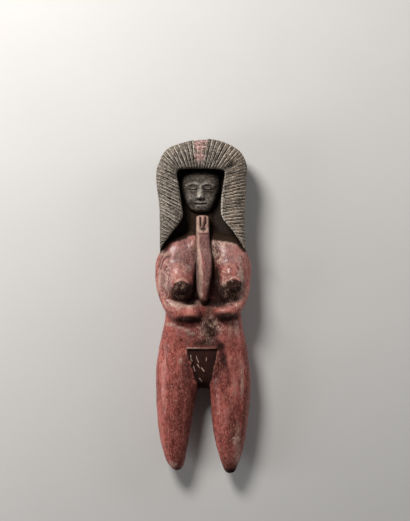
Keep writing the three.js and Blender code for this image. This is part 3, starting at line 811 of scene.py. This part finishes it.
def daub_body(body, groove, panel, strokes):
    """Stores where slip, stains and wear lie on the body, and where shade and highlight are painted on
    it.
    """
    points, normals = read_points(body), read_normals(body)
    x, y, z = points.T
    front = smoothstep(normals[:, 2], -0.2, 0.3)
    ragged = 0.5 * wander(points, 1.1, 8) + 0.35 * wander(points, 3, 9)
    layers = {}
    for name, daubs in DAUBS.items():
        shares = [k * bump(x, y, (at, up), half, DAUB_POWER) for at, up, *half, k in daubs]
        layers[name] = np.max(shares, axis=0) * front
    layers["soot"] = np.maximum(layers["soot"], panel) * (1 - strokes)
    slip = smoothstep(SLIP_EDGE(x) - y + ragged * 0.8, -0.25, 0.35)
    layers = {name: np.clip(v * (1 + 0.5 * ragged), 0, 1) for name, v in layers.items()}
    paint(body, strokes=strokes, slip=slip, groove=groove, **layers)


def model_body():
    """Trunk, hips, arms and breasts pressed together, smoothed, carved and stained."""
    pieces = model_trunk() + model_hips() + model_arms()
    pieces += model_breast("left", -7.3, 5.0) + model_breast("right", 8.2, 4.6, 0.2)
    pieces += [pebble("breast_bone", *web) for web in WEBS]
    body = joined("body", pieces)
    finish_with(body, "REMESH", mode="VOXEL", voxel_size=CLAY_GRID, adaptivity=0)
    finish_with(body, "SMOOTH", factor=0.5, iterations=SMOOTHINGS)
    refine(body, near_panel)
    daub_body(body, *carve_body(body))
    return body


def model_nipples():
    """A button on each breast, pressed in at its middle."""
    made = []
    for centre in NIPPLES:
        piece = pebble("nipple", centre, NIPPLE_HALF)
        points = read_points(piece)
        away = np.hypot(points[:, 0] - centre[0], points[:, 1] - centre[1])
        ahead = points[:, 2] > centre[2]
        points[:, 2] -= (0.35 * np.exp(-(away / 0.9) ** 4) + 0.16 * wander(points, 0.8, 7)) * ahead
        write_points(piece, points)
        # Soot blackens the button and paints shadow over its lower side and below it; worn paints a
        # highlight on the upper side of its rim.
        below = smoothstep(centre[1] - points[:, 1], -1.3, 0.2)
        soot = np.clip(0.95 * below + 0.8 * np.exp(-(away / 1.5) ** 4), 0, 1)
        worn = 0.55 * np.exp(-((away - 1.9) / 0.4) ** 2) * (1 - below)
        paint(piece, soot=soot, worn=worn, scratchy=0.55, slip=1)
        made.append(piece)
    return made


# Rays from each vertex look for the walls of a recess, where dirt and painted shade darken the clay:
# how many, how far they reach, and how far above the clay they start. A crest stands out of its
# surroundings, so many vertices wide, and is full at this height; crests are lightened as wear and
# painted highlight. Both layers are softened a little.
GRIME_RAYS = 12
GRIME_REACH = 7
RAY_LIFT = 0.06
CREST_WIDTH = 6
CREST_FULL = 0.09
SOFTENINGS = 2


def neighbours(piece):
    """A function that averages values over the vertices beside each vertex."""
    edges = np.empty(2 * len(piece.data.edges), int)
    piece.data.edges.foreach_get("vertices", edges)
    one, other = edges.reshape(-1, 2).T
    count = len(piece.data.vertices)

    def gathered(values):
        return np.bincount(one, values[other], count) + np.bincount(other, values[one], count)

    near = np.maximum(gathered(np.ones(count)), 1)
    return lambda values: gathered(values) / near


def settle_grime(piece):
    """Stores how deep each vertex lies in a recess, where dirt settles and shade is painted, and how
    much it stands out as a crest, which handling wears and a painted highlight lightens."""
    points, normals = read_points(piece), read_normals(piece)
    faces = [tuple(face.vertices) for face in piece.data.polygons]
    tree = bvhtree.BVHTree.FromPolygons([Vector(p) for p in points], faces)
    spread = np.random.default_rng(4).normal(size=(GRIME_RAYS, 3))
    spread /= np.linalg.norm(spread, axis=1, keepdims=True)
    grime = np.zeros(len(points))
    for ray in spread:
        aims = normals * 1.02 + ray
        aims /= np.linalg.norm(aims, axis=1, keepdims=True)
        starts = points + normals * RAY_LIFT
        for i, (start, aim) in enumerate(zip(starts, aims)):
            distance = tree.ray_cast(start, aim, GRIME_REACH)[3]
            if distance is not None:
                grime[i] += (1 - 0.6 * distance / GRIME_REACH) / GRIME_RAYS
    average = neighbours(piece)
    soft = points.copy()
    for _ in range(CREST_WIDTH):
        soft = np.stack([average(axis) for axis in soft.T], 1)
    crest = ((points - soft) * normals).sum(1)
    for _ in range(SOFTENINGS):
        grime = 0.5 * grime + 0.5 * average(grime)
        crest = 0.5 * crest + 0.5 * average(crest)
    paint(piece, grime=grime, crest=np.clip(crest / CREST_FULL, 0, 1))


# Colours of the clays and of what lies on them, in linear red, green and blue.
TONES = {
    "smoked": (0.036, 0.03, 0.024), "ash": (0.086, 0.07, 0.056), "warm_clay": (0.14, 0.092, 0.058),
    "chalk": (0.26, 0.22, 0.18), "comb_line": (0.36, 0.3, 0.245), "pore": (0.013, 0.0095, 0.0075),
    "burr": (0.86, 0.79, 0.7), "comb_dirt": (0.012, 0.009, 0.0075), "hair_crest": (0.36, 0.3, 0.24),
    "shade": (0.015, 0.0085, 0.0055), "hair_pit": (0.01, 0.008, 0.007),
    "pink_shade": (0.13, 0.075, 0.064), "pink": (0.34, 0.2, 0.18), "pink_light": (0.6, 0.47, 0.43),
    "pink_dirt": (0.06, 0.033, 0.026),
    "slip_shade": (0.13, 0.024, 0.019), "slip": (0.36, 0.078, 0.063), "smoke": (0.06, 0.018, 0.013),
    "mauve_shade": (0.11, 0.05, 0.05), "mauve": (0.31, 0.185, 0.175), "hollow": (0.05, 0.011, 0.009),
    "rubbed": (0.5, 0.18, 0.145), "fleck": (0.64, 0.35, 0.28), "dusk": (0.032, 0.009, 0.006),
    "tan_shade": (0.2, 0.115, 0.088), "tan": (0.5, 0.35, 0.28), "earth_shade": (0.05, 0.025, 0.018),
    "earth": (0.24, 0.14, 0.1), "film": (0.36, 0.235, 0.2), "scratch": (0.6, 0.45, 0.36),
    "curl": (0.5, 0.25, 0.2), "soot": (0.013, 0.0055, 0.0036), "soot_scratch": (0.36, 0.23, 0.17),
    "stroke": (0.5, 0.38, 0.3), "slip_pit": (0.03, 0.012, 0.01), "dirt": (0.02, 0.009, 0.007),
    "neck": (0.019, 0.009, 0.0044), "floor_shade": (0.5, 0.49, 0.475), "floor": (0.53, 0.52, 0.505),
}


def set_inputs(tree, inputs, feeds):
    """Gives sockets their values, or links them to other sockets."""
    for name, feed in feeds.items():
        if isinstance(feed, bpy.types.NodeSocket):
            tree.links.new(feed, inputs[name])
        else:
            inputs[name].default_value = feed


def add(tree, kind, feeds, **settings):
    """A new node with its own settings and feeds."""
    node = tree.nodes.new("ShaderNode" + kind)
    for name, value in settings.items():
        setattr(node, name, value)
    set_inputs(tree, node.inputs, feeds)
    return node


def maths(tree, operation, *values):
    """One sum on several values, from the first to the last."""
    total, *others = values
    for value in others:
        total = add(tree, "Math", {0: total, 1: value}, operation=operation).outputs[0]
    return total


def times(tree, *values):
    """The product of the values."""
    return maths(tree, "MULTIPLY", *values)


def most(tree, *values):
    """The greatest of the values."""
    return maths(tree, "MAXIMUM", *values)


def between(tree, value, start, end, low=0.0, high=1.0):
    """A soft step of a value from low to high."""
    feeds = {"Value": value, "From Min": start, "From Max": end, "To Min": low, "To Max": high}
    return add(tree, "MapRange", feeds, interpolation_type="SMOOTHSTEP").outputs[0]


def tone(value):
    """A colour by its name, or a socket as it is."""
    return value if isinstance(value, bpy.types.NodeSocket) else (*TONES[value], 1)


def tinted(tree, share, one, other):
    """One colour going over into another."""
    feeds = {0: share, 6: tone(one), 7: tone(other)}
    return add(tree, "Mix", feeds, data_type="RGBA", clamp_factor=True).outputs[2]


def coated(tree, colour, coats):
    """A colour under coats of others. Each coat lies where the product of its shares says."""
    for coat, *shares in coats:
        colour = tinted(tree, times(tree, *shares), colour, coat)
    return colour


def speckle(tree, place, scale, detail=3.0, roughness=0.55, distortion=0.0):
    """Soft noise with so many lumps to the metre."""
    feeds = {"Vector": place, "Scale": scale, "Detail": detail, "Roughness": roughness}
    return add(tree, "TexNoise", {**feeds, "Distortion": distortion}).outputs[0]


SOCKET_KINDS = {"Place": "NodeSocketVector", "Colour": "NodeSocketColor"}


def new_group(name, takes, gives):
    """An empty node group with named sockets, with what comes in and what goes out."""
    group = bpy.data.node_groups.new(name, "ShaderNodeTree")
    for way, labels in (("INPUT", takes), ("OUTPUT", gives)):
        for label in labels:
            kind = SOCKET_KINDS.get(label, "NodeSocketFloat")
            group.interface.new_socket(label, in_out=way, socket_type=kind)
    entry, end = group.nodes.new("NodeGroupInput"), group.nodes.new("NodeGroupOutput")
    return group, entry.outputs, end.inputs


def group_clay_grain():
    """Fired clay: sandy grain, cloudy firing marks and small pits."""
    gives = ("Grain", "Clouds", "Pits", "Flecks", "Crumbs")
    group, takes, out = new_group("clay_grain", ("Place",), gives)
    place = takes["Place"]
    feeds = {"Vector": place, "Scale": 620.0, "Randomness": 1.0}
    holes = add(group, "TexVoronoi", feeds, feature="F1").outputs["Distance"]
    rare = between(group, speckle(group, place, 170.0), 0.52, 0.62)
    set_inputs(group, out, {
        "Grain": speckle(group, place, 2400.0, 3, 0.6),
        "Crumbs": speckle(group, place, 1350.0, 4, 0.85),
        "Clouds": speckle(group, place, 230.0, 5, 0.62, 0.5),
        "Pits": times(group, between(group, holes, 0.24, 0.1), rare),
        "Flecks": between(group, speckle(group, place, 1500.0, 2, 0.5), 0.6, 0.72),
    })
    return group


def group_hand_strokes():
    """The marks of the tool that burnished the slip, which run along the figure."""
    gives = ("Streaks", "Scratches", "Curls", "Bands", "Rubbing")
    group, takes, out = new_group("hand_strokes", ("Place",), gives)
    place = takes["Place"]

    def marks(stretch, *settings):
        spread = add(group, "Mapping", {"Vector": place, "Scale": stretch}).outputs[0]
        return speckle(group, spread, *settings)

    wavy = maths(group, "SUBTRACT", marks((1, 0.55, 0.8), 430.0, 3, 0.7, 1.2), 0.5)
    wavy = add(group, "Math", {0: wavy}, operation="ABSOLUTE").outputs[0]
    line = between(group, wavy, 0.055, 0.012)
    set_inputs(group, out, {
        "Curls": times(group, line, between(group, speckle(group, place, 330.0), 0.47, 0.59)),
        "Rubbing": marks((1, 0.38, 0.8), 2300.0, 4, 0.82, 0.4),
        "Streaks": marks((1, 0.2, 0.8), 1900.0, 4, 0.75, 0.6),
        "Bands": marks((1, 0.13, 0.8), 300.0, 4, 0.6, 0.3),
        "Scratches": between(group, marks((1, 0.16, 0.6), 2200.0, 3, 0.7, 0.8), 0.58, 0.7),
    })
    return group


def group_ragged():
    """Turns a soft stain into one with a ragged edge that follows a pattern."""
    group, takes, out = new_group("ragged", ("Stain", "Pattern", "Raggedness"), ("Mask",))
    rough = times(group, maths(group, "SUBTRACT", takes["Pattern"], 0.5), takes["Raggedness"])
    mask = between(group, maths(group, "ADD", takes["Stain"], rough), 0.12, 0.75)
    set_inputs(group, out, {"Mask": mask})
    return group


def group_bare_clay():
    """The colour of the unslipped clay: smoked dark, with light burrs, rubbed and with painted
    highlight, and grooves and hollows darkened as painted shade and dirt.
    """
    needs = ("Clouds", "Crumbs", "Combing", "Burr", "Groove", "Grime", "Tan")
    group, takes, out = new_group("bare_clay_colour", needs, ("Colour",))
    clouds, crumbs, combing = takes["Clouds"], takes["Crumbs"], takes["Combing"]
    sunk = maths(group, "MINIMUM", combing, crumbs)
    groove = between(group, takes["Groove"], 0.15, 0.75)
    clay = tinted(group, between(group, clouds, 0.35, 0.65), "smoked", "ash")
    clay = coated(group, clay, [
        ("warm_clay", takes["Tan"], between(group, clouds, 0.35, 0.6, 0.3, 0.9)),
        ("chalk", between(group, crumbs, 0.5, 0.62), 0.6),
        ("comb_line", between(group, combing, 0.53, 0.64), 0.6),
        ("pore", between(group, sunk, 0.46, 0.37, 0, 0.92)),
        ("burr", takes["Burr"], between(group, crumbs, 0.4, 0.56, 0.25, 1),
         between(group, clouds, 0.42, 0.55, 0.3, 1)),
        ("comb_dirt", most(group, groove, between(group, takes["Grime"], 0.3, 0.75, 0, 0.85))),
    ])
    set_inputs(group, out, {"Colour": clay})
    return group


def build_groups():
    """The patterns that the clays share."""
    return {
        "grain": group_clay_grain(),
        "strokes": group_hand_strokes(),
        "ragged": group_ragged(),
        "bare": group_bare_clay(),
    }


def start_material(name):
    """A material's tree, its shader and its Object coordinates."""
    material = bpy.data.materials.new(name)
    material.use_nodes = True
    tree = material.node_tree
    place = tree.nodes.new("ShaderNodeTexCoord").outputs["Object"]
    return material, tree, tree.nodes["Principled BSDF"], place


def painted(tree, name):
    """The value that a piece stores under this name."""
    return add(tree, "Attribute", {}, attribute_name=name).outputs["Fac"]


def combing(tree):
    """Fine lines that run along the locks of hair, and fade on the plain back."""
    across = times(tree, painted(tree, "comb"), 4.2)
    along = times(tree, painted(tree, "sweep"), 2.4)
    spot = add(tree, "CombineXYZ", {0: across, 1: along}).outputs[0]
    lines = maths(tree, "SUBTRACT", speckle(tree, spot, 1.0, 3, 0.7), 0.5)
    return maths(tree, "ADD", times(tree, lines, painted(tree, "combed")), 0.5)


def use(tree, group, **feeds):
    """A shared group placed in a material."""
    node = tree.nodes.new("ShaderNodeGroup")
    node.node_tree = group
    set_inputs(tree, node.inputs, feeds)
    return node.outputs


def bumped(tree, *layers):
    """A normal from layers of (height, strength, depth in metres)."""
    feeds = {}
    for height, strength, depth in layers:
        feeds.update({"Height": height, "Strength": strength, "Distance": depth})
        feeds["Normal"] = add(tree, "Bump", feeds).outputs[0]
    return feeds["Normal"]


def bare_clay_material(groups):
    """Hair and face: smoked bare clay, and the rubbed pink stripe on the crown."""
    material, tree, shader, place = start_material("bare_clay")
    grain = use(tree, groups["grain"], Place=place)
    clouds, crumbs, pits = grain["Clouds"], grain["Crumbs"], grain["Pits"]
    lines, groove = combing(tree), painted(tree, "groove")
    clay = use(
        tree, groups["bare"], Clouds=clouds, Crumbs=crumbs, Combing=lines, Groove=groove,
        Burr=painted(tree, "burr"), Grime=painted(tree, "grime"), Tan=painted(tree, "tan"),
    )["Colour"]
    pink = tinted(tree, between(tree, clouds, 0.35, 0.65), "pink_shade", "pink")
    pink = coated(tree, pink, [
        ("pink_light", between(tree, crumbs, 0.53, 0.62, 0, 0.75)),
        ("pink_dirt", between(tree, crumbs, 0.49, 0.4, 0, 0.95)),
    ])
    bald = use(tree, groups["ragged"], Stain=painted(tree, "bald"), Pattern=clouds, Raggedness=0.9)
    clay = coated(tree, clay, [
        # Crests lightened as wear and painted highlight.
        ("hair_crest", painted(tree, "crest"), between(tree, crumbs, 0.45, 0.6, 0.04, 0.4)),
        (pink, bald["Mask"]),
        ("shade", painted(tree, "shade"), 0.85),
        ("hair_pit", pits, 0.8),
    ])
    rough = between(tree, clouds, 0.3, 0.7, 0.58, 0.78)
    set_inputs(tree, shader.inputs, {
        "Base Color": clay,
        "Roughness": maths(tree, "ADD", rough, times(tree, groove, 0.15)),
        "Specular IOR Level": 0.12,
        "Normal": bumped(tree, (grain["Grain"], 0.5, 0.00012), (lines, 0.5, 0.00016),
                         (times(tree, pits, -1.0), 0.8, 0.0003)),
    })
    return material


def slipped_clay_material(groups):
    """The body: burnished red slip, worn pink and tan where it was handled, over bare clay, with
    painted shade in its hollows and under its swellings and painted highlight on its crests and lit
    edges.
    """
    material, tree, shader, place = start_material("slipped_clay")
    grain = use(tree, groups["grain"], Place=place)
    strokes = use(tree, groups["strokes"], Place=place)
    streaks, scratches, curls = strokes["Streaks"], strokes["Scratches"], strokes["Curls"]
    clouds, pits, slip = grain["Clouds"], grain["Pits"], painted(tree, "slip")
    groove, grime = painted(tree, "groove"), painted(tree, "grime")
    mixed = maths(tree, "ADD", times(tree, streaks, 0.5), times(tree, strokes["Bands"], 0.5))

    def stain(name, pattern, raggedness):
        """A painted stain with a ragged edge."""
        feeds = {"Stain": painted(tree, name), "Pattern": pattern, "Raggedness": raggedness}
        return use(tree, groups["ragged"], **feeds)["Mask"]

    def streaked(start, end, dark, light):
        """Two tones that run beside each other along the figure."""
        return tinted(tree, between(tree, mixed, start, end), dark, light)

    def rubbed(start, end, low, high):
        """A step in the fine marks of rubbing."""
        return between(tree, strokes["Rubbing"], start, end, low, high)

    soot, scratchy = stain("soot", mixed, 1.5), stain("scratchy", clouds, 1.0)
    marks = times(tree, scratchy, most(tree, scratches, curls))
    # Crests lightened as wear and painted highlight, with light scratches and rubbing.
    edge = times(tree, painted(tree, "crest"), between(tree, mixed, 0.4, 0.6, 0.1, 0.8))
    pale = most(tree, edge, times(tree, scratches, 0.5), rubbed(0.54, 0.63, 0, 0.75))
    ticks = times(tree, painted(tree, "strokes"), rubbed(0.4, 0.55, 0.35, 1))
    # Creases, cuts and recesses darkened as dirt and painted shade.
    dirt = between(tree, groove, 0.2, 0.9, 0, 0.85)
    dirt = most(tree, between(tree, grime, 0.28, 0.72, 0, 0.9), dirt)
    red = coated(tree, streaked(0.42, 0.58, "slip_shade", "slip"), [
        ("smoke", between(tree, clouds, 0.47, 0.34), 0.4),
        (streaked(0.4, 0.6, "mauve_shade", "mauve"), stain("mauve", mixed, 1.6), 0.85),
        ("hollow", rubbed(0.48, 0.36, 0, 0.6)),
        ("rubbed", pale),
        ("fleck", grain["Flecks"], 0.4),
        # Painted shade that browns the slip.
        ("dusk", painted(tree, "dusk"), rubbed(0.62, 0.42, 0.6, 1.0)),
        # Rubbed tan, and painted highlight on the forearm tops, the raised forearm's left flank, the
        # belly's lit edge and the nipples' rims.
        (streaked(0.38, 0.62, "tan_shade", "tan"), stain("worn", mixed, 2.2), 0.85),
        (streaked(0.4, 0.62, "earth_shade", "earth"), stain("bare", mixed, 1.8), 0.9),
        ("film", scratchy, rubbed(0.49, 0.62, 0, 0.7)),
        ("scratch", marks, 0.62),
        ("curl", curls, 0.16),
        # Soot, and painted shadow under the breasts, nipples and forearms.
        ("soot", soot, 0.95),
        ("soot_scratch", soot, marks, 0.55),
        ("stroke", between(tree, ticks, 0.15, 0.7, 0, 0.8)),
        ("slip_pit", pits, 0.7),
        ("dirt", dirt),
    ])
    bare = use(
        tree, groups["bare"], Clouds=clouds, Crumbs=grain["Crumbs"], Combing=streaks, Burr=0.0,
        Groove=groove, Grime=grime, Tan=0.15,
    )["Colour"]
    bare = tinted(tree, 0.92, bare, "neck")
    dull = most(tree, painted(tree, "bare"), dirt, soot, maths(tree, "SUBTRACT", 1.0, slip))
    rough = between(tree, mixed, 0.35, 0.65, 0.34, 0.52)
    set_inputs(tree, shader.inputs, {
        "Base Color": tinted(tree, slip, bare, red),
        "Roughness": maths(tree, "ADD", rough, times(tree, dull, 0.34)),
        "Specular IOR Level": 0.1,
        "Coat Roughness": 0.22,
        "Coat Weight": times(tree, maths(tree, "SUBTRACT", 1.0, dull), 0.26),
        "Normal": bumped(tree, (streaks, 0.5, 0.0003), (scratches, 0.3, 0.00008),
                         (grain["Grain"], 0.4, 0.0001), (times(tree, pits, -1.0), 0.8, 0.0003)),
    })
    return material


def floor_material():
    """A plain pale floor with a barely visible tooth."""
    material, tree, shader, place = start_material("pale_floor")
    set_inputs(tree, shader.inputs, {
        "Base Color": tinted(tree, speckle(tree, place, 30.0), "floor_shade", "floor"),
        "Roughness": 0.75,
        "Normal": bumped(tree, (speckle(tree, place, 900.0), 0.1, 0.0001)),
    })
    return material


# The picture's frame and the middle of the figure in it, in pixels, and how many metres a pixel
# spans at half the figure's depth.
FRAME_WIDE, FRAME_HIGH = 410, 521
FIGURE_MIDDLE_PIXEL = (203.2, 307)
PIXEL = 0.000358
MID_DEPTH = 0.009
LENS, SENSOR = 85, 36


def place_camera():
    """A camera straight above, with the crown to the top of the picture."""
    camera = bpy.data.objects.new("camera", bpy.data.cameras.new("camera"))
    bpy.context.scene.collection.objects.link(camera)
    camera.data.lens = LENS
    camera.data.sensor_width = SENSOR
    camera.data.clip_start = 0.01
    distance = FRAME_HIGH * PIXEL * LENS / SENSOR
    aside = (FRAME_WIDE / 2 - FIGURE_MIDDLE_PIXEL[0]) * PIXEL
    above = (FIGURE_MIDDLE_PIXEL[1] - FRAME_HIGH / 2) * PIXEL
    camera.location = (aside, above, MID_DEPTH + distance)
    bpy.context.scene.camera = camera


WHITE = (1, 1, 1)
# Round soft lamps: where, how wide in metres, how strong in watts, and of what colour.
LAMPS = {
    "key": ((-0.12, 0.22, 0.25), 0.12, 5.5, (1, 0.975, 0.95)),
    "side": ((-0.35, -0.04, 0.16), 0.2, 2.2, WHITE),
    "fill": ((0.5, -0.05, 0.5), 0.4, 0.7, WHITE),
    "rim": ((0.3, 0.16, 0.14), 0.16, 1.3, WHITE),
}
SKY = (0.9, 0.92, 0.95, 1)
SKY_STRENGTH = 0.09


def light_studio():
    """Plain soft light: a key from the crown side, one from the left side, a fill and a rim."""
    for name, (place, width, power, tint) in LAMPS.items():
        lamp = bpy.data.objects.new(name, bpy.data.lights.new(name, "POINT"))
        bpy.context.scene.collection.objects.link(lamp)
        lamp.data.shadow_soft_size = width / 2
        lamp.data.energy = power
        lamp.data.color = tint
        lamp.location = place
    world = bpy.data.worlds.new("studio")
    bpy.context.scene.world = world
    world.use_nodes = True
    sky = world.node_tree.nodes["Background"].inputs
    sky["Color"].default_value = SKY
    sky["Strength"].default_value = SKY_STRENGTH


def lay_floor():
    """A plain pale floor just under the figure."""
    bpy.ops.object.select_all(action="DESELECT")
    bpy.ops.mesh.primitive_plane_add(size=3, location=(0, 0, -0.0001))
    floor = bpy.context.object
    floor.name = "floor"
    floor.data.materials.append(floor_material())
    floor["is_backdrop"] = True


def keep_inside(piece):
    """Holds the piece within the box of its solid."""
    spots = np.clip(metres(read_points(piece)), np.array(LOW), np.array(HIGH))
    piece.data.vertices.foreach_set("co", spots.ravel())
    piece.data.update()


def model_figurine():
    """The whole figure as one piece over its solid."""
    groups = build_groups()
    bare, red = bare_clay_material(groups), slipped_clay_material(groups)
    hair, face = model_hair(), model_face()
    body, forearm = model_body(), model_raised_forearm()
    nipples = model_nipples()
    for piece in (hair, face):
        piece.data.materials.append(bare)
    for piece in (body, forearm, *nipples):
        piece.data.materials.append(red)
    whole = joined("clay_figure", [body, hair, face, forearm, *nipples])
    keep_inside(whole)
    settle_grime(whole)
    activate(whole)
    bpy.ops.object.shade_smooth()
    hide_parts("figurine")
    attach(whole, "root")


model_figurine()
place_camera()
light_studio()
lay_floor()
bpy.context.scene.view_settings.view_transform = "Standard"

boxes = {"cad": CAD_BOX, "visual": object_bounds()}
boxes = {name: [list(map(float, corner)) for corner in box] for name, box in boxes.items()}
